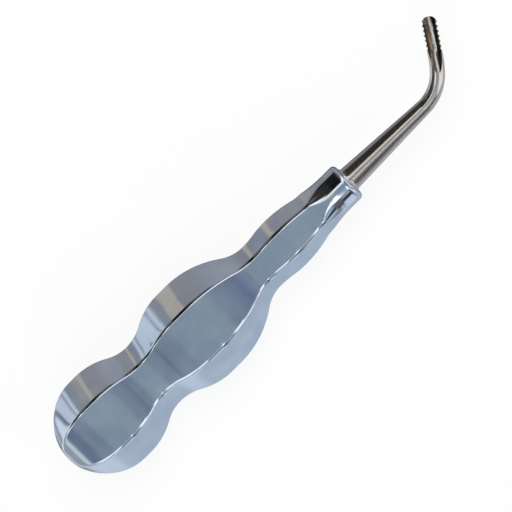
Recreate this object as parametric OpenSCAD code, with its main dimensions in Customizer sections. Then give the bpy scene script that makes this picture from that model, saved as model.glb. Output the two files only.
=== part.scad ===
// Dental elevator: a hollow six-sided handle with wavy flats, and a forged working end
// whose bent tip is a round-nosed gouge with serrated edges.
// It lies on one flat of the handle with the gouge's hollow side up.
// X runs along the handle towards the tip, Y to the side that the tip bends to, Z up.
// The origin lies on the resting flat, under the widest place of the belly.

/* [Handle widths, over opposite ridges] */
// Width of the swell at the butt
butt_w = 30.4; // [26:0.2:34]
// Width of the neck between the butt and the belly
neck_w = 21.6; // [17:0.2:24]
// Width of the belly, which fills the palm
belly_w = 30.4; // [26:0.2:34]
// Width of the waist in front of the belly
waist_w = 15.3; // [13:0.1:16]
// Width of the shoulder that the fingertips rest on
shoulder_w = 16.8; // [16.4:0.1:19]
// Diameter of the round collar
collar_d = 12.1; // [10:0.1:13]

// Width over opposite flats where the round end of the butt closes
butt_tip_w = 6.4; // [4:0.1:8]

/* [Handle lengths] */
// Length of the level place on each flat at the widest place of the butt
butt_level = 2.4; // [1.5:0.1:4]
// Length of the level place on each flat at the widest place of the belly
belly_level = 3.6; // [2:0.1:6]
// From where the flats run level into the collar to its front end
level_to_mouth = 12.9; // [10:0.1:16]
// Length of the cylindrical part of the collar
collar_len = 4.1; // [2.5:0.1:6]

/* [Handle curves, seen from the side of a flat] */
// Radius of the curve that rounds each flat off towards the end of the butt
butt_curve_r = 16.6; // [16.2:0.1:22]
// Radius of the bulge from the butt towards the neck
butt_front_r = 22.3; // [18:0.1:28]
// Radius of the hollow of the neck, towards the butt
neck_back_r = 13.6; // [10:0.1:18]
// Radius of the hollow of the neck, towards the belly
neck_front_r = 15.6; // [12:0.1:20]
// Radius of the bulge of the belly, towards the neck
belly_back_r = 21.6; // [17:0.1:27]
// Radius of the bulge of the belly, towards the waist
belly_front_r = 31.3; // [26:0.1:38]
// Radius of the hollow of the waist, towards the belly
waist_back_r = 12.8; // [10:0.1:16]
// Radius of the hollow of the waist, towards the shoulder
waist_front_r = 33.4; // [26:0.1:40]
// Radius of the bulge of the shoulder, towards the waist
shoulder_back_r = 33.4; // [26:0.1:40]
// Radius of the bulge of the shoulder, towards the collar
shoulder_front_r = 44.7; // [38:0.1:52]
// Radius of the hollow in which the flats run level into the collar
level_r = 11.2; // [9:0.1:14]

/* [Turned and polished curves] */
// Radius of the turned hollow in which the ridges run out behind the collar
runout_r = 45; // [35:1:60]
// Radius of the collar's front edge
collar_edge_r = 1.2; // [0.4:0.1:1.6]
// Radius of the polished ridges between the flats
ridge_r = 1.3; // [0.8:0.1:2]

/* [Handle inside] */
// Thickness of the pressed shell
shell_wall = 1; // [0.6:0.1:1.6]
// Length of the solid neck that grips the tang
grip_len = 21; // [15:0.5:24]
// Diameter of the bore for the tang
bore_d = 6; // [4.5:0.1:7]

/* [Tang and shank] */
// Gap between the tang and its bore, filled by the brazing
braze_gap = 0.02; // [0.01:0.01:0.05]
// Length of the tang, from the mouth of the collar inwards
tang_len = 24; // [22:0.5:30]
// Diameter of the foot that seats on the collar
foot_d = 8; // [7.8:0.1:9]
// Height of the foot
foot_h = 1; // [0.6:0.1:2]
// Diameter of the shank where it leaves the foot
shank_root_d = 7.3; // [6.4:0.1:7.6]
// Diameter of the shank where it starts to bend
bend_d = 4.5; // [4:0.1:5]
// Length of the straight shank
shank_len = 29; // [22:0.5:40]
// Angle by which the shank leans away from the side that the tip bends to
shank_lean = 0.9; // [0:0.1:2]

/* [Bend] */
// Radius of the main bend, at the middle of the rod
bend_r = 13.1; // [10:0.1:18]
// Angle of the main bend
bend_angle = 47; // [30:1:60]
// Radius of the easy curve that leads into the blade
ease_r = 28; // [20:1:40]
// Angle of the easy curve
ease_angle = 10; // [5:1:15]

/* [Blade] */
// Diameter of the rod at the root of the blade
root_d = 4.2; // [3.8:0.1:4.6]
// Width of the blade over its edges
blade_w = 4.4; // [4:0.1:5]
// Length of the straight blade
blade_len = 11.3; // [10:0.1:14]
// Radius of the gouge's hollow
gouge_r = 2; // [1.7:0.05:2.3]
// Depth of the hollow's floor below the middle of the rod
gouge_depth = 0.3; // [0:0.05:0.6]
// Length of the hollow's level floor, from the nose
gouge_level = 9; // [8:0.1:10]
// Angle at which the floor rises from there to the V-shaped end of the hollow
gouge_rise = 21; // [16:1:30]
// Thickness under the floor at the nose
nose_t = 0.8; // [0.5:0.05:1.2]
// Length over which the back of the blade is thinned towards the nose
thin_len = 10; // [7:0.5:11]

/* [Serration] */
// Number of notches in each edge
notch_n = 6; // [3:1:7]
// Distance from notch to notch
notch_pitch = 1.4; // [1.2:0.1:1.5]
// Radius of the round file that cut the notches
notch_r = 0.45; // [0.3:0.05:0.5]
// Depth of each notch
notch_depth = 0.45; // [0.3:0.05:0.6]
// From the nose to the first notch of the edge inside the bend
notch_start = 1.8; // [1.6:0.1:2.4]
// How much further back the notches of the other edge lie
notch_stagger = 0.7; // [0:0.1:0.7]

/* [Hidden] */
$fa = 4;
$fs = 0.2;

// How far polishing takes each ridge in from the sharp corner, as a share of its radius
ridge_loss = 1 / cos(30) - 1;

// Distance from the axis to the flats of a hexagon, for its width over the round ridges
function flat_a(ridge_w) = (ridge_w / 2 + ridge_r * ridge_loss) * cos(30);

butt = flat_a(butt_w);
neck = flat_a(neck_w);
belly = flat_a(belly_w);
waist = flat_a(waist_w);
shoulder = flat_a(shoulder_w);
collar_r = collar_d / 2;

// Towards the collar the flats stop a little outside it, so that it is fully round
run_clear = 0.05;
level = collar_r + run_clear;

// Length of a half wave from a crest to a valley: an arc that bulges and one that is hollow,
// which touch
function run(fall, bulge_r, hollow_r) = sqrt(fall * (2 * (bulge_r + hollow_r) - fall));

// Length of the round end, along which a flat falls from the butt's height to the tip's
butt_len = sqrt(butt_curve_r ^ 2 - (butt_curve_r - butt + butt_tip_w / 2) ^ 2);

// Places along the axis, from the middle of the belly
belly_x = belly_level / 2;
neck_x = -belly_x - run(belly - neck, belly_back_r, neck_front_r);
butt_x = neck_x - run(butt - neck, butt_front_r, neck_back_r);
round_x = butt_x - butt_level;
end_x = round_x - butt_len;
waist_x = belly_x + run(belly - waist, belly_front_r, waist_back_r);
shoulder_x = waist_x + run(shoulder - waist, shoulder_back_r, waist_front_r);
level_x = shoulder_x + run(shoulder - level, shoulder_front_r, level_r);
mouth_x = level_x + level_to_mouth;
hollow_x = mouth_x - collar_len;
edge_x = mouth_x - collar_edge_r;
grip_x = mouth_x - grip_len;

// The turned outline stays clear of the ridges by this much, except at its two ends
ridge_clear = 0.4;
dome_r = butt_w / 2 + ridge_clear;
guard_r = max(butt_w, belly_w) / 2 + ridge_clear;
axis_z = max(butt, belly);

// The sharpest that a ridge is inside the shell, and the roundest that a section becomes
least_ridge_r = 0.3;
roundest = 0.98;

// How far inside the foot the shank starts; the tang ends twice as far in
root_lap = foot_h / 4;

// How much narrower than the shank the foot's top is, so that it ends inside the shank
foot_tuck = 0.6;

// How finely curves are drawn: steps along the handle and inside it, then in each ridge
step_out = 1.2;
step_in = 2.5;
ridge_steps = 4;
ridge_steps_in = 2;
rod_sides = 32;

// A half wave of a flat's side outline between a crest and a valley, each [place, height].
// The inset moves the outline inwards along its normal.
function half_wave(x, crest, valley, bulge_r, hollow_r, inset) =
    let (
        from_crest = abs(x - crest[0]),
        from_valley = abs(x - valley[0]),
        bulge_len = abs(valley[0] - crest[0]) * (bulge_r - inset) / (bulge_r + hollow_r)
    )
    from_crest < bulge_len
        ? crest[1] - bulge_r + sqrt((bulge_r - inset) ^ 2 - from_crest ^ 2)
        : valley[1] + hollow_r - sqrt((hollow_r + inset) ^ 2 - from_valley ^ 2);

// Distance from the axis to a flat, at a place along the handle
function flat_h(x, inset) =
    let (
        at_butt = [butt_x, butt],
        at_neck = [neck_x, neck],
        at_back = [-belly_x, belly],
        at_front = [belly_x, belly],
        at_waist = [waist_x, waist],
        at_shoulder = [shoulder_x, shoulder],
        at_level = [level_x, level]
    )
    x < round_x ? butt - butt_curve_r + sqrt((butt_curve_r - inset) ^ 2 - (round_x - x) ^ 2) :
    x < butt_x ? butt - inset :
    x < neck_x ? half_wave(x, at_butt, at_neck, butt_front_r, neck_back_r, inset) :
    x < -belly_x ? half_wave(x, at_back, at_neck, belly_back_r, neck_front_r, inset) :
    x < belly_x ? belly - inset :
    x < waist_x ? half_wave(x, at_front, at_waist, belly_front_r, waist_back_r, inset) :
    x < shoulder_x ? half_wave(x, at_shoulder, at_waist, shoulder_back_r, waist_front_r, inset) :
    x < level_x ? half_wave(x, at_shoulder, at_level, shoulder_front_r, level_r, inset) :
    level - inset;

// Radius of the turned outline: the round end, the hollow behind the collar, the collar
// and its edge
function turned_r(x, inset) =
    let (
        from_end = end_x + dome_r - x,
        to_hollow = hollow_x - x,
        past_edge = x - edge_x
    )
    from_end > 0 ? sqrt(max((dome_r - inset) ^ 2 - from_end ^ 2, 0)) :
    to_hollow > 0
        ? min(guard_r, collar_r + runout_r - sqrt(max(runout_r ^ 2 - to_hollow ^ 2, 0))) - inset :
    past_edge < 0 ? collar_r - inset :
    collar_r - collar_edge_r + sqrt(max(collar_edge_r ^ 2 - past_edge ^ 2, 0)) - inset;

// Section of the handle: a hexagon with rounded ridges, which becomes a circle where the
// turned outline takes the ridges away
function section(x, inset, steps) =
    let (
        turned = turned_r(x, inset),
        flat = min(flat_h(x, inset), turned),
        soft_r = max(ridge_r - inset, least_ridge_r),
        over = min(turned, flat / cos(30) - soft_r * ridge_loss),
        corner_r = min((flat / cos(30) - over) / ridge_loss, roundest * flat),
        corner = (flat - corner_r) / cos(30)
    )
    [
        for (ridge = [0 : 60 : 300], k = [0 : steps])
            let (a = ridge - 30 + 60 * k / steps)
            [
                x,
                corner * cos(ridge) + corner_r * cos(a),
                corner * sin(ridge) + corner_r * sin(a)
            ]
    ];

// Even steps from each place of a list to the next, no longer than the step given
function stations(places, step) = [
    for (i = [0 : len(places) - 2])
        let (n = ceil((places[i + 1] - places[i]) / step))
        for (k = [0 : n - 1]) places[i] + (places[i + 1] - places[i]) * k / n
];

// Joins rings of points, each with as many points, into one closed solid
module skin(rings) {
    n = len(rings[0]);
    last = len(rings) - 1;
    polyhedron(
        points = [for (ring = rings) each ring],
        faces = concat(
            [[for (j = [0 : n - 1]) j]],
            [
                for (i = [0 : last - 1], j = [0 : n - 1])
                    let (a = i * n + j, b = i * n + (j + 1) % n)
                    each [[a, a + n, b], [b, a + n, b + n]]
            ],
            [[for (j = [n - 1 : -1 : 0]) last * n + j]]
        )
    );
}

// The outside of the handle, with finer steps at its round end and at the collar's edge
module handle_outside() {
    round_end = [for (t = [3 : 8 : 83]) round_x - butt_len * cos(t)];
    edge = [for (t = [0 : 15 : 90]) edge_x + collar_edge_r * sin(t)];
    places = [
        round_x, butt_x, neck_x, -belly_x, belly_x, waist_x, shoulder_x, level_x, hollow_x, edge_x
    ];
    skin([
        for (x = concat(round_end, stations(places, step_out), edge))
            section(x, 0, ridge_steps)
    ]);
}

// The space inside the pressed shell, up to the solid neck that grips the tang
module cavity() {
    deep = butt_len - shell_wall;
    round_end = [for (t = [4 : 14 : 74]) round_x - deep * cos(t)];
    places = [round_x, butt_x, neck_x, -belly_x, belly_x, waist_x, shoulder_x, grip_x];
    skin([
        for (x = concat(round_end, stations(places, step_in), [grip_x]))
            section(x, shell_wall, ridge_steps_in)
    ]);
}

module handle() {
    color([0.72, 0.78, 0.86])
    translate([0, 0, axis_z])
    difference() {
        handle_outside();
        cavity();
        translate([grip_x - 1, 0, 0]) rotate([0, 90, 0]) cylinder(h = grip_len + 2, d = bore_d);
    }
}

// One stop of a rod's route is [x, y, heading, radius, back]. The back is 1 where the rod is
// round, and less where its underside is thinned. A move is [length, turn, radius and back
// at its end, steps].
function onward(stop, move, f) =
    let (
        h = stop[2],
        h2 = h + move[1] * f,
        far = move[0] * f,
        bend = move[1] == 0 ? 0 : move[0] / (move[1] * PI / 180)
    )
    [
        stop[0] + (bend == 0 ? far * cos(h) : bend * (sin(h2) - sin(h))),
        stop[1] + (bend == 0 ? far * sin(h) : bend * (cos(h) - cos(h2))),
        h2,
        stop[3] + (move[2] - stop[3]) * f,
        stop[4] + (move[3] - stop[4]) * f
    ];

// All the stops of a route: its first one, then those of each move in turn
function route(stop, moves, i = 0) =
    i == len(moves) ? [stop] :
    let (n = moves[i][4])
    concat(
        [for (k = [0 : n - 1]) onward(stop, moves[i], k / n)],
        route(onward(stop, moves[i], 1), moves, i + 1)
    );

// The stops of a round nose after the last stop of a route
function nose(stop) = [
    for (t = [12 : 12 : 84])
        [
            stop[0] + stop[3] * sin(t) * cos(stop[2]),
            stop[1] + stop[3] * sin(t) * sin(stop[2]),
            stop[2],
            stop[3] * cos(t),
            stop[4]
        ]
];

// A rod along a route
module rod(stops) {
    skin([
        for (s = stops) [
            for (a = [0 : 360 / rod_sides : 359])
                [
                    s[0] - s[3] * cos(a) * sin(s[2]),
                    s[1] + s[3] * cos(a) * cos(s[2]),
                    s[3] * sin(a) * (a > 180 ? s[4] : 1)
                ]
        ]
    ]);
}

// The shank and the blade, before the gouge is ground
blade_r = blade_w / 2;
nose_back = (gouge_depth + nose_t) / blade_r;
blade_route = route([root_lap, 0, 0, shank_root_d / 2, 1], [
    [shank_len - root_lap, 0, bend_d / 2, 1, 1],
    [bend_r * bend_angle * PI / 180, bend_angle, root_d / 2, 1, 14],
    [ease_r * ease_angle * PI / 180, ease_angle, root_d / 2, 1, 4],
    [blade_len - thin_len, 0, root_d / 2, 1, 1],
    [thin_len - blade_r, 0, blade_r, nose_back, 4]
]);
nose_stop = blade_route[len(blade_route) - 1];

// Draws its children from the nose: X towards the tip, Z up from the middle of the rod
module at_nose() {
    translate([nose_stop[0], nose_stop[1], 0]) rotate([0, 0, nose_stop[2]])
        translate([blade_r, 0, 0]) children();
}

// What the grinding wheel takes out: a hollow with a level floor, which then rises through
// the top of the rod in a V-shaped end
module gouge_cut() {
    ease = gouge_r;
    translate([0, 0, gouge_r - gouge_depth])
        rotate([90, 0, 180])
            rod(route([-gouge_r, 0, 0, gouge_r, 1], [
                [gouge_level + gouge_r, 0, gouge_r, 1, 1],
                [ease * gouge_rise * PI / 180 * 2, gouge_rise, gouge_r, 1, 4],
                [2 * gouge_level, 0, gouge_r, 1, 1]
            ]));
}

// Notches along one edge of the blade, which is the left one for a side of 1
module notches(side, start) {
    for (i = [0 : notch_n - 1])
        translate([-start - i * notch_pitch, side * (blade_r - notch_depth + notch_r), -blade_r])
            cylinder(h = 2 * blade_r, r = notch_r);
}

module working_end() {
    color([0.62, 0.6, 0.57])
    translate([mouth_x, 0, axis_z]) {
        translate([-tang_len, 0, 0]) rotate([0, 90, 0])
            cylinder(h = tang_len + 2 * root_lap, d = bore_d - 2 * braze_gap);
        rotate([0, 90, 0]) cylinder(h = foot_h, d1 = foot_d, d2 = shank_root_d - foot_tuck);
        rotate([0, 0, -shank_lean])
        difference() {
            rod(concat(blade_route, nose(nose_stop)));
            at_nose() {
                gouge_cut();
                notches(1, notch_start);
                notches(-1, notch_start + notch_stagger);
            }
        }
    }
}

handle();
working_end();
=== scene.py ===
# %% [markdown]
# # A dental elevator
#
# A dental elevator loosens a tooth. Its handle fills the palm: a shell of steel with six wavy
# flats, polished like a mirror. A forged shank comes out of it, bends to one side and ends
# in a small gouge whose edges are notched so that they bite.
#
# The CAD model already has every piece at its real size. This lesson makes the same pieces
# again with smooth surfaces, because a mirror shows each facet of a CAD mesh, and gives them
# their finish and a studio to mirror.

import math

import bmesh
import bpy
from mathutils import Matrix, Vector
from mathutils.kdtree import KDTree


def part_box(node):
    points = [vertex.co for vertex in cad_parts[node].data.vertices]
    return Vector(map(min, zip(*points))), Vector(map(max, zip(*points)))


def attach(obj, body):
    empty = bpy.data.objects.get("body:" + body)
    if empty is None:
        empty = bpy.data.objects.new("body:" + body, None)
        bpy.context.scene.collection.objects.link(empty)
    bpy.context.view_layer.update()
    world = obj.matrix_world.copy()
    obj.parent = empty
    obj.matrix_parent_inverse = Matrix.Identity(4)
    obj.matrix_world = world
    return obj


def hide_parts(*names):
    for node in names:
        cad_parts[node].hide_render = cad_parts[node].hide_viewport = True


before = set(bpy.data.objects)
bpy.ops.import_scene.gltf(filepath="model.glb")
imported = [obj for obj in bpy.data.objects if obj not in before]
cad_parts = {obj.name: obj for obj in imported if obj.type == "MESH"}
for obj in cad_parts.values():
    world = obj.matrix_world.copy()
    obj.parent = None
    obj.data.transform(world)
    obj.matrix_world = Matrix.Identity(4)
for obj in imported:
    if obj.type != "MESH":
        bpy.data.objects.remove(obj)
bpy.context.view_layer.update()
MM = 0.001

# %% [markdown]
# ## The handle's outline
#
# Each flat of the handle is level from side to side and wavy along its length. The waves
# are half waves of two arcs that touch: one bulges at the crest, the other is hollow at the
# valley. Where the handle was turned on a lathe, at its round end and at its collar, the
# ridges between the flats are cut away.
#
# A curve could be drawn by hand, but arcs worked out from a few widths and radii are exact,
# and they are the same in the CAD model. So the sizes come first, in mm.

# %% The handle's sizes
BUTT_W = 30.4
NECK_W = 21.6
BELLY_W = 30.4
WAIST_W = 15.3
SHOULDER_W = 16.8
BUTT_TIP_W = 6.4
BUTT_LEVEL = 2.4
BELLY_LEVEL = 3.6
COLLAR_R = 6.05
COLLAR_LEN = 4.1
COLLAR_EDGE_R = 1.2
RIDGE_R = 1.3
RIDGE_CLEAR = 0.4
RUN_CLEAR = 0.05
BORE_R = 3
BORE_LEN = 21
COS30 = math.cos(math.radians(30))
RIDGE_LOSS = 1 / COS30 - 1


def flat_distance(width):
    """How far a flat lies from the axis, for the hexagon's width over its round ridges."""
    return (width / 2 + RIDGE_R * RIDGE_LOSS) * COS30


BUTT = flat_distance(BUTT_W)
NECK = flat_distance(NECK_W)
BELLY = flat_distance(BELLY_W)
WAIST = flat_distance(WAIST_W)
SHOULDER = flat_distance(SHOULDER_W)
LEVEL = COLLAR_R + RUN_CLEAR
print("Flats from the axis in mm:", [round(v, 2) for v in (BUTT, NECK, BELLY, WAIST, SHOULDER)])

# %% [markdown]
# ## Waves made of two arcs
#
# Two arcs that touch need only their radii and the heights of the crest and the valley: the
# length of the half wave follows from them. Each wave then knows where it starts and ends,
# and the whole outline is a chain of waves from the middle of the belly to both ends.

# %% The arcs' radii, from the butt to the collar
BUTT_CURVE_R = 16.6
BUTT_FRONT_R = 22.3
NECK_BACK_R = 13.6
NECK_FRONT_R = 15.6
BELLY_BACK_R = 21.6
BELLY_FRONT_R = 31.3
WAIST_BACK_R = 12.8
WAIST_FRONT_R = 33.4
SHOULDER_BACK_R = 33.4
SHOULDER_FRONT_R = 44.7
LEVEL_R = 11.2
RUNOUT_R = 45


# %% One half wave
def wave_length(crest, valley, bulge_r, hollow_r):
    """Length of a half wave whose two arcs touch."""
    fall = crest - valley
    return math.sqrt(fall * (2 * (bulge_r + hollow_r) - fall))


class HalfWave:
    """Half a wave of a flat, from a crest at crest_x in the direction of +1 or -1."""

    def __init__(self, crest_x, crest, valley, bulge_r, hollow_r, direction):
        self.length = wave_length(crest, valley, bulge_r, hollow_r)
        self.crest_x = crest_x
        self.valley_x = crest_x + direction * self.length
        self.crest = crest
        self.valley = valley
        self.bulge_r = bulge_r
        self.hollow_r = hollow_r

    def height(self, x):
        """The flat's distance from the axis at x, on the bulging or the hollow arc."""
        from_crest = abs(x - self.crest_x)
        if from_crest < self.length * self.bulge_r / (self.bulge_r + self.hollow_r):
            return self.crest - self.bulge_r + math.sqrt(self.bulge_r**2 - from_crest**2)
        from_valley = self.valley_x - x
        return self.valley + self.hollow_r - math.sqrt(self.hollow_r**2 - from_valley**2)


# %% The chain of waves
MOUTH_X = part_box("handle")[1].x / MM
AXIS_Z = (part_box("handle")[0].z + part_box("handle")[1].z) / 2 / MM
BELLY_X = BELLY_LEVEL / 2
belly_back = HalfWave(-BELLY_X, BELLY, NECK, BELLY_BACK_R, NECK_FRONT_R, -1)
NECK_X = belly_back.valley_x
BUTT_X = NECK_X - wave_length(BUTT, NECK, BUTT_FRONT_R, NECK_BACK_R)
butt_front = HalfWave(BUTT_X, BUTT, NECK, BUTT_FRONT_R, NECK_BACK_R, 1)
belly_front = HalfWave(BELLY_X, BELLY, WAIST, BELLY_FRONT_R, WAIST_BACK_R, 1)
WAIST_X = belly_front.valley_x
SHOULDER_X = WAIST_X + wave_length(SHOULDER, WAIST, SHOULDER_BACK_R, WAIST_FRONT_R)
shoulder_back = HalfWave(SHOULDER_X, SHOULDER, WAIST, SHOULDER_BACK_R, WAIST_FRONT_R, -1)
shoulder_front = HalfWave(SHOULDER_X, SHOULDER, LEVEL, SHOULDER_FRONT_R, LEVEL_R, 1)
LEVEL_X = shoulder_front.valley_x

# Where each wave ends, and the wave that leads there.
WAVES = (
    (NECK_X, butt_front),
    (-BELLY_X, belly_back),
    (WAIST_X, belly_front),
    (SHOULDER_X, shoulder_back),
    (LEVEL_X, shoulder_front),
)
print("The waves' lengths in mm:", [round(wave.length, 2) for end, wave in WAVES])

# %% The ends of the handle
ROUND_X = BUTT_X - BUTT_LEVEL
BUTT_LEN = math.sqrt(BUTT_CURVE_R**2 - (BUTT_CURVE_R - BUTT + BUTT_TIP_W / 2) ** 2)
END_X = ROUND_X - BUTT_LEN
HOLLOW_X = MOUTH_X - COLLAR_LEN
EDGE_X = MOUTH_X - COLLAR_EDGE_R
DOME_R = BUTT_W / 2 + RIDGE_CLEAR
print("The butt ends at", round(END_X, 2), "mm and the collar at", round(MOUTH_X, 2), "mm")

# %% The outline functions
def flat_height(x):
    """Distance from the axis to a flat at x."""
    if x < ROUND_X:
        return BUTT - BUTT_CURVE_R + math.sqrt(BUTT_CURVE_R**2 - (ROUND_X - x) ** 2)
    if x < BUTT_X:
        return BUTT
    if -BELLY_X <= x < BELLY_X:
        return BELLY
    for end, wave in WAVES:
        if x < end:
            return wave.height(x)
    return LEVEL


def turned_radius(x):
    """Radius of the turned outline at x: the round end, the hollow, the collar, its edge."""
    from_end = END_X + DOME_R - x
    if from_end > 0:
        return math.sqrt(max(DOME_R**2 - from_end**2, 0))
    if x < HOLLOW_X:
        hollow = math.sqrt(max(RUNOUT_R**2 - (HOLLOW_X - x) ** 2, 0))
        return min(DOME_R, COLLAR_R + RUNOUT_R - hollow)
    past_edge = max(x - EDGE_X, 0)
    return COLLAR_R - COLLAR_EDGE_R + math.sqrt(max(COLLAR_EDGE_R**2 - past_edge**2, 0))


# %% [markdown]
# ## One section of the handle
#
# At any place along the axis the section is a hexagon with round ridges. Two numbers give
# it: how far the flats lie from the axis, and how far the turned outline lets the ridges
# reach. Where the turned outline is the smaller of the two, the section is a circle.
#
# Buffing on a soft wheel never leaves a flat dead flat. A slight crown on each one bends
# what it mirrors, as on the real handle.

# %% The section's points
RIDGE_STEPS = 8
FLAT_STEPS = 6
CROWN_R = 220
ROUNDEST = 0.98


def section(x):
    """The points of the handle's section at x, ridge by ridge from +Y round to +Z."""
    turned = turned_radius(x)
    flat = min(flat_height(x), turned)
    reach = min(turned, flat / COS30 - RIDGE_R * RIDGE_LOSS)
    ridge_r = min((flat / COS30 - reach) / RIDGE_LOSS, ROUNDEST * flat)
    half_flat = (flat - ridge_r) / COS30 / 2
    crown = half_flat**2 / (2 * CROWN_R)
    corner = (flat - ridge_r - crown) / COS30
    points = []
    for ridge in range(0, 360, 60):
        middle = math.radians(ridge)
        for step in range(RIDGE_STEPS + 1):
            a = math.radians(ridge - 30 + 60 * step / RIDGE_STEPS)
            y = corner * math.cos(middle) + ridge_r * math.cos(a)
            z = corner * math.sin(middle) + ridge_r * math.sin(a)
            points.append(Vector((x, y, z)))
        out = Vector((0, math.cos(middle + math.pi / 6), math.sin(middle + math.pi / 6)))
        side = Vector((0, -out.z, out.y))
        for step in range(1, FLAT_STEPS):
            along = 2 * step / FLAT_STEPS - 1
            height = flat - crown * along**2
            points.append(Vector((x, 0, 0)) + out * height + side * (half_flat * along))
    return points


print("Points in a section:", len(section(0)))

# %% [markdown]
# ## A loft by extruding a ring
#
# A loft joins many sections into one skin. Here a ring of edges is extruded again and again,
# and each new ring is set down on the next section. That keeps all faces four-sided and the
# rows straight, so that smooth shading has nothing to stumble on. A boolean of a hexagonal
# bar and a lathe shape would look the same from afar, but its sliver faces show in a mirror.

# %% Ring helpers
def first_ring(bm, places):
    """A closed ring of edges through the places given."""
    ring = bmesh.ops.create_circle(bm, segments=len(places), radius=1)["verts"]
    for vert, place in zip(ring, places):
        vert.co = place
    return ring


def next_ring(bm, ring, places):
    """Extrudes a ring once and sets the new one down on the places given."""
    edges = [bm.edges.get(pair) for pair in zip(ring, ring[1:] + ring[:1])]
    made = bmesh.ops.extrude_edge_only(bm, edges=edges)["geom"]
    old = set(ring)
    grown = {}
    for vert in [item for item in made if isinstance(item, bmesh.types.BMVert)]:
        for edge in vert.link_edges:
            if edge.other_vert(vert) in old:
                grown[edge.other_vert(vert)] = vert
    new_ring = [grown[vert] for vert in ring]
    for vert, place in zip(new_ring, places):
        vert.co = place
    return new_ring


def close_ring(bm, ring):
    """Draws a ring together into one point at its middle."""
    middle = sum((vert.co for vert in ring), Vector()) / len(ring)
    bmesh.ops.pointmerge(bm, verts=ring, merge_co=middle)


def loft(rings):
    """A closed skin over a list of rings, each a list of points, with flat ends."""
    bm = bmesh.new()
    first = first_ring(bm, rings[0])
    ring = first
    # One ring more than listed lies at each end. It is drawn together and closes the end.
    for places in [*rings, rings[-1]]:
        ring = next_ring(bm, ring, places)
    close_ring(bm, ring)
    close_ring(bm, first)
    bmesh.ops.recalc_face_normals(bm, faces=bm.faces)
    return bm


def steps(start, end, size):
    """Even steps from start up to end, no longer than the size given, without the end."""
    count = math.ceil((end - start) / size)
    return [start + (end - start) * k / count for k in range(count)]


# %% [markdown]
# ## From a bmesh to a piece
#
# Pieces are shaped in mm, with the handle's axis as X. A finished piece has its place in its
# mesh, in metres, and its object sits at the origin. Faces are shaded smooth, and edges
# sharper than an angle stay crisp.

# %% Finish a piece
def finish_piece(bm, name, crisp_angle):
    """Turns a bmesh in mm, drawn about the axis, into an object in metres at its place."""
    bmesh.ops.translate(bm, verts=bm.verts, vec=(0, 0, AXIS_Z))
    bmesh.ops.scale(bm, verts=bm.verts, vec=(MM, MM, MM))
    mesh = bpy.data.meshes.new(name)
    bm.to_mesh(mesh)
    bm.free()
    mesh.shade_smooth()
    mesh.set_sharp_from_angle(angle=math.radians(crisp_angle))
    piece = bpy.data.objects.new(name, mesh)
    bpy.context.scene.collection.objects.link(piece)
    mesh.calc_loop_triangles()
    print(name, "has", len(mesh.loop_triangles), "triangles")
    return piece


# %% [markdown]
# ## The handle
#
# The rings start at the pole of the round end, where they follow the turned sphere, run
# along the waves and over the collar's round edge, and go back into the bore that holds the
# tang. The last ring closes the bore's end.

# %% Loft the handle
DOME_STEP = math.radians(2.5)
DOME_RINGS = (0.1, *range(1, 34))
RING_STEP = 0.5
EDGE_ANGLES = range(0, 91, 10)
BORE_CHAMFER = 0.1
CRISP_HANDLE = 50


def circle_like(ring, x, radius):
    """A circle at x, with a point for each point of another ring."""
    return [Vector((x, *(Vector((p.y, p.z)).normalized() * radius))) for p in ring]


places = [END_X + DOME_R * (1 - math.cos(DOME_STEP * k)) for k in DOME_RINGS]
places = [x for x in places if x < ROUND_X - RING_STEP]
knots = [ROUND_X, BUTT_X, NECK_X, -BELLY_X, BELLY_X, WAIST_X, SHOULDER_X]
knots += [LEVEL_X, HOLLOW_X, EDGE_X]
for start, end in zip(knots, knots[1:]):
    places += steps(start, end, RING_STEP)
places += [EDGE_X + COLLAR_EDGE_R * math.sin(math.radians(t)) for t in EDGE_ANGLES]

rings = [section(x) for x in places]
rings.append(circle_like(rings[-1], MOUTH_X, BORE_R + BORE_CHAMFER))
rings.append(circle_like(rings[-1], MOUTH_X - BORE_CHAMFER, BORE_R))
rings.append(circle_like(rings[-1], MOUTH_X - BORE_LEN, BORE_R))
handle = finish_piece(loft(rings), "polished_handle", CRISP_HANDLE)
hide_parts("handle")
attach(handle, "root")

# %% [markdown]
# ## The route of the working end
#
# The shank was forged round and tapered, then bent. Its middle line is a straight, a bend,
# an easier curve and the straight blade. A bevelled curve object could follow it, but the
# blade's back is thinner than its top, so the rings are placed by a small route walker: a
# stop is a place, a heading, a radius and how thick the back is.

# %% Walk the route
SHANK_LEAN = math.radians(0.9)
SHANK_LEN = 29
SHANK_ROOT_R = 3.65
SHANK_START = 0.6
BEND_START_R = 2.25
BEND_R = 13.1
BEND_ANGLE = math.radians(47)
EASE_R = 28
EASE_ANGLE = math.radians(10)
ROOT_R = 2.1
BLADE_R = 2.2
BLADE_LEN = 11.3
THIN_LEN = 10
GOUGE_R = 2
GOUGE_DEPTH = 0.3
NOSE_T = 0.8
NOSE_BACK = (GOUGE_DEPTH + NOSE_T) / BLADE_R
NOSE_ANGLES = (*range(0, 85, 6), 89)


def onward(stop, length, turn, radius, back, share):
    """The stop that lies a share of one move past another."""
    x, y, heading, r, b = stop
    end = heading + turn * share
    far = length * share
    if turn:
        bend = length / turn
        x += bend * (math.sin(end) - math.sin(heading))
        y += bend * (math.cos(heading) - math.cos(end))
    else:
        x += far * math.cos(heading)
        y += far * math.sin(heading)
    return (x, y, end, r + (radius - r) * share, b + (back - b) * share)


root_radius = SHANK_ROOT_R - (SHANK_ROOT_R - BEND_START_R) * SHANK_START / SHANK_LEN
start = (SHANK_START, 0, -SHANK_LEAN, root_radius, 1)

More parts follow.
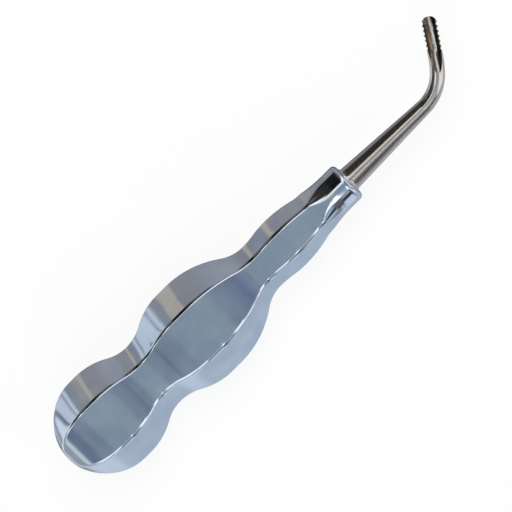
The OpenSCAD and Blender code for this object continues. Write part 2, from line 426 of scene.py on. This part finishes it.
# Each move: its length, its turn, the radius and the back that it leads to, and its rings.
moves = [
    (SHANK_LEN - SHANK_START, 0, BEND_START_R, 1, 40),
    (BEND_R * BEND_ANGLE, BEND_ANGLE, ROOT_R, 1, 48),
    (EASE_R * EASE_ANGLE, EASE_ANGLE, ROOT_R, 1, 16),
    (BLADE_LEN - THIN_LEN, 0, ROOT_R, 1, 4),
    (THIN_LEN - BLADE_R, 0, BLADE_R, NOSE_BACK, 32),
]
stops = []
for length, turn, radius, back, count in moves:
    stops += [onward(start, length, turn, radius, back, k / count) for k in range(count)]
    start = onward(start, length, turn, radius, back, 1)
nose_x, nose_y, heading, nose_r, nose_back = start
for t in [math.radians(angle) for angle in NOSE_ANGLES]:
    ahead = nose_r * math.sin(t)
    at = (nose_x + ahead * math.cos(heading), nose_y + ahead * math.sin(heading))
    stops.append((*at, heading, nose_r * math.cos(t), nose_back))
print("The middle of the nose is at", [round(v, 2) for v in (nose_x + MOUTH_X, nose_y)])

# %% Loft the solid rod
ROD_SIDES = 72
TANG_LEN = 24
TANG_R = 2.98
TANG_CHAMFER = 0.4
FOOT_R = 4
FOOT_EDGE = 0.05


def rod_ring(x, y, heading, radius, back):
    """A ring across the rod at a stop, flattened below where the back is thinned."""
    ring = []
    for k in range(ROD_SIDES):
        a = 2 * math.pi * k / ROD_SIDES
        across = radius * math.cos(a)
        up = radius * math.sin(a) * (back if math.sin(a) < 0 else 1)
        ring.append(
            Vector((MOUTH_X + x - across * math.sin(heading), y + across * math.cos(heading), up))
        )
    return ring


# The tang, the foot and its fillet: places along the axis and the radii there.
root = [
    (-TANG_LEN, TANG_R - TANG_CHAMFER),
    (TANG_CHAMFER - TANG_LEN, TANG_R),
    (0, TANG_R),
    (0, FOOT_R - FOOT_EDGE),
    (FOOT_EDGE, FOOT_R),
    (0.35, SHANK_ROOT_R + 0.1),
    (0.45, SHANK_ROOT_R + 0.03),
]
rings = [rod_ring(x, 0, 0, radius, 1) for x, radius in root]
rings += [rod_ring(*stop) for stop in stops]
rod = loft(rings)
print("The rod has", len(rings), "rings of", ROD_SIDES, "points")

# %% [markdown]
# ## The gouge and its teeth
#
# A grinding wheel hollows the blade and a small round file notches its edges. Both take
# metal away, so a boolean is the honest tool here: the cutters are a bar that runs level
# and then rises out of the rod, and a row of short rods along each edge. The edges that the
# cuts leave are then broken by a fine bevel, as the last polish does.

# %% The grinding wheel's path
GOUGE_LEVEL = 9
GOUGE_RISE = math.radians(21)
GOUGE_EASE_R = 4
RISE_STEPS = 8
WHEEL_SIDES = 96
TIP = Matrix.Translation((nose_x + MOUTH_X, nose_y, 0)) @ Matrix.Rotation(heading, 4, "Z")
TIP = TIP @ Matrix.Translation((BLADE_R, 0, 0))


def wheel_ring(x, z, rise):
    """A ring across the grinding wheel's path, which leads back from the nose and rises."""
    ring = []
    for k in range(WHEEL_SIDES):
        a = 2 * math.pi * k / WHEEL_SIDES
        up = GOUGE_R * math.sin(a)
        local = Vector((-x + up * math.sin(rise), GOUGE_R * math.cos(a), z + up * math.cos(rise)))
        ring.append(TIP @ local)
    return ring


axis_up = GOUGE_R - GOUGE_DEPTH
path = [(-GOUGE_R, axis_up, 0)]
for k in range(RISE_STEPS + 1):
    rise = GOUGE_RISE * k / RISE_STEPS
    ahead = GOUGE_LEVEL + GOUGE_EASE_R * math.sin(rise)
    path.append((ahead, axis_up + GOUGE_EASE_R * (1 - math.cos(rise)), rise))
far = 2 * GOUGE_LEVEL
end_x, end_z, rise = path[-1]
path.append((end_x + far * math.cos(rise), end_z + far * math.sin(rise), rise))
wheel = loft([wheel_ring(*stop) for stop in path])
print("The hollow's floor starts to rise", GOUGE_LEVEL, "mm from the nose")

# %% The round files
NOTCH_N = 6
NOTCH_PITCH = 1.4
NOTCH_R = 0.45
NOTCH_DEPTH = 0.45
NOTCH_START = 1.8
NOTCH_STAGGER = 0.7
FILE_SIDES = 32
files = bmesh.new()
for side, first in ((1, NOTCH_START), (-1, NOTCH_START + NOTCH_STAGGER)):
    for k in range(NOTCH_N):
        place = Vector((-first - k * NOTCH_PITCH, side * (BLADE_R - NOTCH_DEPTH + NOTCH_R), 0))
        bmesh.ops.create_cone(
            files,
            cap_ends=True,
            segments=FILE_SIDES,
            radius1=NOTCH_R,
            radius2=NOTCH_R,
            depth=2 * BLADE_R,
            matrix=TIP @ Matrix.Translation(place),
        )

print("Notches to file:", 2 * NOTCH_N)


# %% Cutting with a boolean
def as_object(bm, name, mark=0):
    """A scratch object that holds a bmesh, with a mark on its faces that cuts pass on."""
    for face in bm.faces:
        face.material_index = mark
    mesh = bpy.data.meshes.new(name)
    mesh.materials.append(None)
    mesh.materials.append(None)
    bm.to_mesh(mesh)
    bm.free()
    obj = bpy.data.objects.new(name, mesh)
    bpy.context.scene.collection.objects.link(obj)
    return obj


def carve(body, cutters):
    """Cuts the cutters out of a body and returns what is left as a bmesh."""
    for cutter in cutters:
        cut = body.modifiers.new("cut", "BOOLEAN")
        cut.operation = "DIFFERENCE"
        cut.solver = "EXACT"
        cut.object = cutter
    bpy.context.view_layer.update()
    shaped = body.evaluated_get(bpy.context.evaluated_depsgraph_get())
    bm = bmesh.new()
    bm.from_mesh(shaped.to_mesh())
    for obj in (body, *cutters):
        bpy.data.objects.remove(obj)
    return bm


# %% Cut, and break the edges
CUT_ANGLE = math.radians(32)
EDGE_BREAK = 0.05
SAME_PLACE = 0.002
CRISP_BLADE = 40
cutters = [as_object(wheel, "wheel", 1), as_object(files, "files", 1)]
blade = carve(as_object(rod, "rod"), cutters)
bmesh.ops.remove_doubles(blade, verts=blade.verts, dist=SAME_PLACE)
edges = [e for e in blade.edges if len(e.link_faces) == 2 and e.calc_face_angle() > CUT_ANGLE]
edges = [e for e in edges if min(v.co.x for v in e.verts) > MOUTH_X + SHANK_LEN]
bmesh.ops.bevel(
    blade,
    geom=edges,
    affect="EDGES",
    offset=EDGE_BREAK,
    offset_type="OFFSET",
    segments=2,
    profile=0.5,
    clamp_overlap=True,
    material=-1,
)
print("Cut edges that were broken:", len(edges))

# %% The finished working end
ground_faces = [float(face.material_index) for face in blade.faces]
for face in blade.faces:
    face.material_index = 0
working_end = finish_piece(blade, "forged_working_end", CRISP_BLADE)
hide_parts("working_end")
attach(working_end, "root")

# %% [markdown]
# ## Notes for the finish
#
# The polish lines of a bent rod follow its bends. So each vertex gets a note of where it would
# lie if the rod were straight, and a pattern drawn there is bent with the rod. Each face
# gets a note of whether it was ground, because the ground faces have another finish.

# %% Straightened places and ground faces
shape = working_end.data
ground = shape.attributes.new("ground", "FLOAT", "FACE")
ground.data.foreach_set("value", ground_faces)

finder = KDTree(len(stops))
lengths = [0.0]
for before, after in zip(stops, stops[1:]):
    lengths.append(lengths[-1] + math.dist(before[:2], after[:2]))
for k, stop in enumerate(stops):
    finder.insert((MOUTH_X + stop[0], stop[1], 0), k)
finder.balance()
straight = shape.attributes.new("straight", "FLOAT_VECTOR", "POINT")
for vert, note in zip(shape.vertices, straight.data):
    x, y, z = vert.co / MM
    k = finder.find((x, y, 0))[1]
    at_x, at_y, facing = stops[k][:3]
    ahead = (x - MOUTH_X - at_x) * math.cos(facing) + (y - at_y) * math.sin(facing)
    left = (y - at_y) * math.cos(facing) - (x - MOUTH_X - at_x) * math.sin(facing)
    note.vector = Vector((lengths[k] + ahead, left, z - AXIS_Z)) * MM
print("Ground faces:", int(sum(ground_faces)), "of", len(ground_faces))

# %% [markdown]
# ## Writing shader maths as sums
#
# A node tree is easier to read as a sum than as a list of links. The Wire class wraps an
# output socket: each operator on it adds the Math node that does the sum, also where the
# plain number comes first. Every other node comes from one method, which takes the node's
# type, its settings and its inputs.

# %% Wires and graphs
class Wire:
    """An output socket that can be used in sums."""

    def __init__(self, graph, socket):
        self.graph = graph
        self.socket = socket

    def __add__(self, other):
        return self.graph.maths("ADD", self, other)

    def __radd__(self, other):
        return self.graph.maths("ADD", other, self)

    def __sub__(self, other):
        return self.graph.maths("SUBTRACT", self, other)

    def __rsub__(self, other):
        return self.graph.maths("SUBTRACT", other, self)

    def __mul__(self, other):
        return self.graph.maths("MULTIPLY", self, other)

    def __rmul__(self, other):
        return self.graph.maths("MULTIPLY", other, self)


class Graph:
    """The nodes of one material or of the world."""

    def __init__(self, tree):
        self.tree = tree
        tree.nodes.clear()

    def add(self, kind, settings, inputs, output=0):
        """Adds a node, sets it up and returns one of its outputs."""
        node = self.tree.nodes.new(kind)
        for name, value in settings.items():
            setattr(node, name, value)
        for name, value in inputs.items():
            if isinstance(value, Wire):
                self.tree.links.new(value.socket, node.inputs[name])
            else:
                node.inputs[name].default_value = value
        return Wire(self, node.outputs[output]) if node.outputs else node

    def maths(self, operation, *values):
        """One Math node."""
        return self.add("ShaderNodeMath", {"operation": operation}, dict(enumerate(values)))

    def mix(self, share, low, high):
        """A colour between two others."""
        inputs = {0: share, 6: low, 7: high}
        return self.add("ShaderNodeMix", {"data_type": "RGBA"}, inputs, output=2)

    def step(self, value, edge, soft):
        """0 below an edge and 1 above it, with a soft passage."""
        inputs = {0: value, 1: edge - soft / 2, 2: edge + soft / 2}
        return self.add("ShaderNodeMapRange", {"interpolation_type": "SMOOTHSTEP"}, inputs)

    def noise(self, place, scale, detail=2.0):
        """Soft noise about 0.5, with a scale in waves per metre."""
        inputs = {"Vector": place, "Scale": scale, "Detail": detail, "Roughness": 0.5}
        return self.add("ShaderNodeTexNoise", {}, inputs)

    def stretched(self, place, scales):
        """A place whose pattern is drawn out along the axes with the smaller scales."""
        return self.add("ShaderNodeMapping", {}, {"Vector": place, "Scale": scales})


def new_material(name):
    """A material with an empty tree."""
    material = bpy.data.materials.new(name)
    material.use_nodes = True
    return material, Graph(material.node_tree)


def metal(graph, tint, roughness, height, strength, depth):
    """Ends a material's graph with a bare metal whose surface has a height."""
    relief = {"Height": height, "Strength": strength, "Distance": depth}
    bump = graph.add("ShaderNodeBump", {}, relief)
    inputs = {"Base Color": tint, "Metallic": 1.0, "Roughness": roughness, "Normal": bump}
    shader = graph.add("ShaderNodeBsdfPrincipled", {}, inputs)
    graph.add("ShaderNodeOutputMaterial", {}, {"Surface": shader})


# %% [markdown]
# ## The mirror polish of the handle
#
# A polished metal has no colour of its own apart from the tint of its mirror. What tells it
# from a perfect one is small: a slow ripple across the grip left by the buffing wheel, a
# thin film from hands that dulls it in places, and a tint that drifts a little with it.

# %% Handle material
FILM_SCALE = 110.0
RIPPLE_SCALE = 190.0
SWEEP_SCALE = 38.0
ACROSS_THE_GRIP = (1.0, 0.3, 0.3)
RIPPLE_SHARE = 0.35
RIPPLE_DEPTH = 0.09 * MM
polish, graph = new_material("mirror_polish")
place = graph.add("ShaderNodeTexCoord", {}, {}, output=3)
film = graph.step(graph.noise(place, FILM_SCALE, 3.0), 0.5, 0.5)
ripple = graph.noise(graph.stretched(place, ACROSS_THE_GRIP), RIPPLE_SCALE)
sweep = graph.noise(place, SWEEP_SCALE, 1.0)
tint = graph.mix(film, (0.67, 0.745, 0.85, 1), (0.81, 0.87, 0.95, 1))
roughness = 0.05 + film * 0.09
metal(graph, tint, roughness, ripple * RIPPLE_SHARE + sweep, 1.0, RIPPLE_DEPTH)
handle.data.materials.append(polish)
print(polish.name, "has", len(polish.node_tree.nodes), "nodes")

# %% [markdown]
# ## The steel of the working end
#
# The forging is stainless steel, a little warmer and less bright than the handle. It was
# polished along its length with a finer belt, which leaves faint lines and streaks. The
# ground hollow isn't polished. Its colours are painted light: a painted brown reflection
# with random stains on its left wall, painted shade on its right wall and a painted
# highlight along a strip between them. The notes on the mesh tell the shader where on the
# straight rod it is and what was ground.

# %% Steel colours
BRUSH_SCALE = 5000.0
STREAK_SCALE = 900.0
STAIN_SCALE = 450.0
WANDER_SCALE = 900.0
BRUSHED_ALONG = (0.03, 1.0, 1.0)
STREAKED_ALONG = (0.02, 1.0, 1.0)
# Where the painted highlight runs across the hollow, between its shaded wall and its brown wall.
PAINTED_HIGHLIGHT_FROM = -0.7 * MM
PAINTED_HIGHLIGHT_TO = 0.05 * MM
SOFT_EDGE = 0.3 * MM
EDGE_WANDER = 1 * MM
BRUSH_DEPTH = 0.012 * MM
steel, graph = new_material("forged_steel")
place = graph.add("ShaderNodeTexCoord", {}, {}, output=3)
straight = graph.add("ShaderNodeAttribute", {"attribute_name": "straight"}, {}, output=1)
ground = graph.add("ShaderNodeAttribute", {"attribute_name": "ground"}, {}, output=2)
streaks = graph.noise(graph.stretched(straight, STREAKED_ALONG), STREAK_SCALE)
streak = graph.step(streaks, 0.5, 0.4)
stain = graph.step(graph.noise(place, STAIN_SCALE, 3.0), 0.5, 0.5)
polished = graph.mix(streak, (0.62, 0.57, 0.52, 1), (0.80, 0.76, 0.71, 1))
# The gouge's left wall gets a painted brown reflection, mottled by random stains.
painted_brown_reflection = graph.mix(stain, (0.20, 0.135, 0.09, 1), (0.46, 0.35, 0.26, 1))
# The gouge's right wall gets painted shade, mottled by random stains.
painted_wall_shade = graph.mix(stain, (0.07, 0.06, 0.055, 1), (0.22, 0.19, 0.17, 1))

# %% Steel material
wander = (graph.noise(place, WANDER_SCALE, 3.0) - 0.5) * EDGE_WANDER
across = graph.add("ShaderNodeSeparateXYZ", {}, {"Vector": straight}, output=1) + wander
# A painted highlight runs along the hollow between the painted shade and the painted brown
# reflection.
hollow = graph.mix(graph.step(across, PAINTED_HIGHLIGHT_FROM, SOFT_EDGE), painted_wall_shade, (0.80, 0.77, 0.73, 1))
hollow = graph.mix(graph.step(across, PAINTED_HIGHLIGHT_TO, SOFT_EDGE), hollow, painted_brown_reflection)
tint = graph.mix(ground, polished, hollow)
brush = graph.noise(graph.stretched(straight, BRUSHED_ALONG), BRUSH_SCALE)
roughness = 0.14 + streak * 0.06 + ground * 0.06
metal(graph, tint, roughness, brush, 0.5, BRUSH_DEPTH)
working_end.data.materials.append(steel)
print(steel.name, "has", len(steel.node_tree.nodes), "nodes")

# %% [markdown]
# ## A studio to mirror
#
# A mirror is only as good as what it shows. What the photo's chrome mirrors looks like a
# white tent with a blue-grey top, with a dark stand and a few other things at its sides. An
# evenly white world would take the flats away, so this world holds such a studio. Every
# direction has a lean, from straight up (0) towards the left (90) or the right (-90) of the
# handle, and a pitch, towards the tip (90) or the butt (-90). Patches with soft edges are
# laid over one another in those two angles.

# %% The two angles of a direction
DEGREES = 180 / math.pi
SWAY = 6
world = bpy.data.worlds.new("studio")
bpy.context.scene.world = world
world.use_nodes = True
graph = Graph(world.node_tree)
direction = graph.add("ShaderNodeTexCoord", {}, {}, output=0)
toward_tip = graph.add("ShaderNodeSeparateXYZ", {}, {"Vector": direction}, output=0)
toward_left = graph.add("ShaderNodeSeparateXYZ", {}, {"Vector": direction}, output=1)
upward = graph.add("ShaderNodeSeparateXYZ", {}, {"Vector": direction}, output=2)
sway = (graph.noise(direction, 5.0) - 0.5) * SWAY
below = graph.maths("LESS_THAN", upward, 0.0)
above_lean = graph.maths("ARCSINE", toward_left) * DEGREES
below_lean = graph.maths("ARCTAN2", toward_left, upward) * DEGREES
lean = above_lean * (1 - below) + below_lean * below + sway
pitch = graph.maths("ARCSINE", toward_tip) * DEGREES + sway


# %% Patches with soft edges
def between(value, low, high, soft):
    """1 where a value lies between two others, with soft ends."""
    return graph.step(value, low, soft) * (1 - graph.step(value, high, soft))


def lay(under, patches):
    """Lays patches over what is there: colour, two leans, two pitches, softness."""
    for colour, leans, pitches, soft in patches:
        share = between(lean, *leans, soft) * between(pitch, *pitches, soft)
        under = graph.mix(share, under, (*colour, 1))
    return under


# %% [markdown]
# ## The lower half of the studio
#
# The side flats look down, so they mirror what stands low around the table: cool light on
# the right and grey on the left, which gets paler towards the butt. A beige strip and a few
# dark lines cross the left. Straight below lies the table top, in the handle's own shade.

# %% Below the horizon
LEFT = (84, 200)
RIGHT = (-200, -56)
ALL_ROUND = (-200, 200)
leftness = graph.step(toward_left, 0.0, 0.2)
studio = graph.mix(leftness, (0.455, 0.515, 0.59, 1), (0.28, 0.28, 0.30, 1))
studio = lay(
    studio,
    [
        ((0.26, 0.285, 0.32), LEFT, (-18, -10), 5),
        ((0.59, 0.645, 0.72), LEFT, (-90, -17), 4),
        ((0.74, 0.79, 0.86), LEFT, (-90, -34), 4),
        ((0.32, 0.335, 0.365), LEFT, (12, 90), 10),
        ((0.60, 0.66, 0.75), RIGHT, (-90, -21), 8),
        ((0.50, 0.44, 0.36), LEFT, (-8, -4.6), 2),
        ((0.33, 0.35, 0.41), LEFT, (-22.5, -20.5), 2),
        ((0.20, 0.22, 0.28), ALL_ROUND, (-34, -31.5), 2),
    ],
)

# %% The table top
straight_down = 1 - graph.step(upward, -0.87, 0.1)
table_top = graph.mix(leftness, (0.30, 0.29, 0.28, 1), (0.08, 0.075, 0.07, 1))
studio = graph.mix(straight_down, studio, table_top)

# %% [markdown]
# ## The tent
#
# The tent's walls are white. They show as the fine bright lines on the ridges, because a
# ridge sweeps over many leans in little room. Its ceiling is slate and gives the upper flat
# its colour, with dusk towards both ends. Where the flats lie level, the ridges on the right
# mirror a thin dark pole between the ceiling and the wall. A brown board stands near it, but
# only the gouge's left wall looks that way. Beyond the butt the left corner is dark.

# %% Walls and the dark corner
EVERYWHERE = (-90, 90)
studio = lay(studio, [((1.15, 1.15, 1.15), (-38, 31), EVERYWHERE, 4)])
round_left = graph.maths("ARCTAN2", 0 - toward_tip, toward_left) * DEGREES
corner = between(round_left, -5, 64, 6) * between(upward, -0.05, 0.74, 0.06)
studio = graph.mix(corner, studio, (0.05, 0.045, 0.042, 1))

# %% Pole and ceiling
CEILING = (-14, 12)
LEVEL_PITCH = (-13, 16)
studio = lay(
    studio,
    [
        ((0.66, 0.72, 0.80), (-112, -66), (-9, -2), 3),
        ((0.40, 0.45, 0.51), (-46, 12), LEVEL_PITCH, 4),
        ((0.03, 0.035, 0.05), (-64, -46), LEVEL_PITCH, 2),
        ((1.15, 1.15, 1.15), (-58, -36), (16, 90), 3),
        ((0.36, 0.30, 0.245), (-40, -13), (33, 68), 5),
        ((0.27, 0.33, 0.38), CEILING, EVERYWHERE, 4),
        ((0.22, 0.265, 0.32), CEILING, (22, 90), 14),
        ((0.225, 0.27, 0.325), CEILING, (-90, -26), 16),
        ((0.19, 0.215, 0.305), CEILING, (41, 90), 14),
        ((0.145, 0.18, 0.275), CEILING, (53, 90), 10),
        ((0.16, 0.195, 0.28), CEILING, (-82, -57), 12),
    ],
)

# %% [markdown]
# ## Dark things and the shank's strips
#
# A dark stand on the left gives the black line along the left ridges and the black half of
# the collar. Above the shank the tent has a gap, with a lamp strip and the dark room behind
# it, so the shank gets its bands of light and dark.

# %% The dark stand
studio = lay(
    studio,
    [
        ((0.12, 0.125, 0.14), (44, 104), (-19, 22), 6),
        ((0.07, 0.073, 0.08), (44, 84), (16, 30), 5),
        ((0.008, 0.008, 0.009), (34, 50), (-2, 20), 4),
        ((0.01, 0.01, 0.012), (34, 97), (-8.5, 1.5), 2.5),
        ((0.008, 0.008, 0.009), (22, 50), (-19, 2), 4),
    ],
)

# %% The gap above the shank
SHANK_PITCH = (-1.7, 3.0)
studio = lay(
    studio,
    [
        ((1.8, 1.8, 1.8), (-30, -10.5), (-2.6, 0.5), 1.4),
        ((0.14, 0.13, 0.15), (-62, -30), (-2.8, 2.5), 2.5),
        ((0.04, 0.035, 0.035), (-76, -64), (-2.8, 2.5), 2.5),
        ((0.27, 0.26, 0.26), (-108, -76), SHANK_PITCH, 1.6),
        ((0.035, 0.03, 0.028), (28, 88), (-2, 8), 3),
        ((0.95, 0.85, 0.68), (7, 22), SHANK_PITCH, 1.6),
    ],
)

# %% [markdown]
# ## Both ends of the studio
#
# Near straight ahead and straight back the two angles crowd together, so the ends are drawn
# by height alone: a glow along the horizon beyond the butt with the table top under it, and
# a pale wall beyond the tip. The camera itself doesn't see the studio but plain white.

# %% Ends, and what the camera sees
beyond_butt = 1 - graph.step(toward_tip, -0.80, 0.2)
table = beyond_butt * between(upward, -0.55, -0.12, 0.15)
studio = graph.mix(table, studio, (0.33, 0.345, 0.38, 1))
glow = beyond_butt * between(upward, -0.13, 0.06, 0.12)
studio = graph.mix(glow, studio, (0.58, 0.645, 0.65, 1))
beyond_tip = graph.step(toward_tip, 0.92, 0.08)
studio = graph.mix(beyond_tip, studio, (0.90, 0.93, 0.98, 1))
camera_ray = graph.add("ShaderNodeLightPath", {}, {}, output=0)
seen = graph.mix(camera_ray, studio, (1, 1, 1, 1))
background = graph.add("ShaderNodeBackground", {}, {"Color": seen, "Strength": 1.0})
graph.add("ShaderNodeOutputWorld", {}, {"Surface": background})
print("The studio has", len(world.node_tree.nodes), "nodes")

# %% [markdown]
# ## The floor
#
# The floor is plain and pale. The camera sees it as white paper, with a trace of the
# object's shadow. The polish doesn't see it, because the studio's lower half stands for it.

# %% Floor
SHADOW_SHARE = 0.12
FLOOR_SIZE = 12.0
FLOOR_DROP = 0.2 * MM
bm = bmesh.new()
bmesh.ops.create_grid(bm, x_segments=1, y_segments=1, size=FLOOR_SIZE / 2)
bmesh.ops.translate(bm, verts=bm.verts, vec=(0, 0, -FLOOR_DROP))
floor = as_object(bm, "floor")
# The empty slots are of use to cutters only.
floor.data.materials.clear()
floor.visible_glossy = False
paper, graph = new_material("white_paper")
matt = graph.add("ShaderNodeBsdfDiffuse", {}, {"Color": (0.9, 0.9, 0.9, 1)})
glow = graph.add("ShaderNodeEmission", {}, {"Color": (1, 1, 1, 1), "Strength": 1.0})
camera_ray = graph.add("ShaderNodeLightPath", {}, {}, output=0)
lit = camera_ray * (1 - SHADOW_SHARE)
surface = graph.add("ShaderNodeMixShader", {}, {0: lit, 1: matt, 2: glow})
graph.add("ShaderNodeOutputMaterial", {}, {"Surface": surface})
floor.data.materials.append(paper)
print("The floor is", FLOOR_SIZE, "m wide")

# %% [markdown]
# ## Lamps and camera
#
# One broad lamp overhead and a weaker one from the side give the floor its soft shadow. The
# camera looks down with a long lens, turned so that the handle runs up to the right.

# %% Lamps
AIM = Vector((25.95, 3.2, AXIS_Z)) * MM


def soft_lamp(name, place, size, power):
    """An area lamp that faces the middle of the object."""
    lamp = bpy.data.lights.new(name, "AREA")
    lamp.size = size
    lamp.energy = power
    obj = bpy.data.objects.new(name, lamp)
    obj.location = place
    obj.rotation_mode = "QUATERNION"
    obj.rotation_quaternion = (Vector(place) - AIM).to_track_quat("Z", "Y")
    obj.visible_glossy = False
    bpy.context.scene.collection.objects.link(obj)


soft_lamp("key_lamp", (0.3, 0.5, 1.2), 0.8, 9)
soft_lamp("fill_lamp", (-0.6, -0.7, 0.9), 0.9, 4)

# %% Camera
TO_CAMERA = Vector((0.096, 0.065, 0.993)).normalized()
HANDLE_ANGLE = math.radians(44.9)
PIXEL = 0.28 * MM
VIEW_WIDTH = 512 * PIXEL
LENS = 300
SENSOR = 36
lengthwise = (Vector((1, 0, 0)) - TO_CAMERA * TO_CAMERA.x).normalized()
sideways = TO_CAMERA.cross(lengthwise)
right = lengthwise * math.cos(HANDLE_ANGLE) - sideways * math.sin(HANDLE_ANGLE)
up = lengthwise * math.sin(HANDLE_ANGLE) + sideways * math.cos(HANDLE_ANGLE)
lens = bpy.data.cameras.new("camera")
lens.lens = LENS
lens.sensor_width = SENSOR
camera = bpy.data.objects.new("camera", lens)
turn = Matrix((right, up, TO_CAMERA)).transposed()
away = AIM + TO_CAMERA * (VIEW_WIDTH * LENS / SENSOR)
camera.matrix_world = Matrix.Translation(away) @ turn.to_4x4()
bpy.context.scene.collection.objects.link(camera)
bpy.context.scene.camera = camera
bpy.context.scene.view_settings.view_transform = "Standard"
print("The camera is", round((away - AIM).length, 3), "m away")
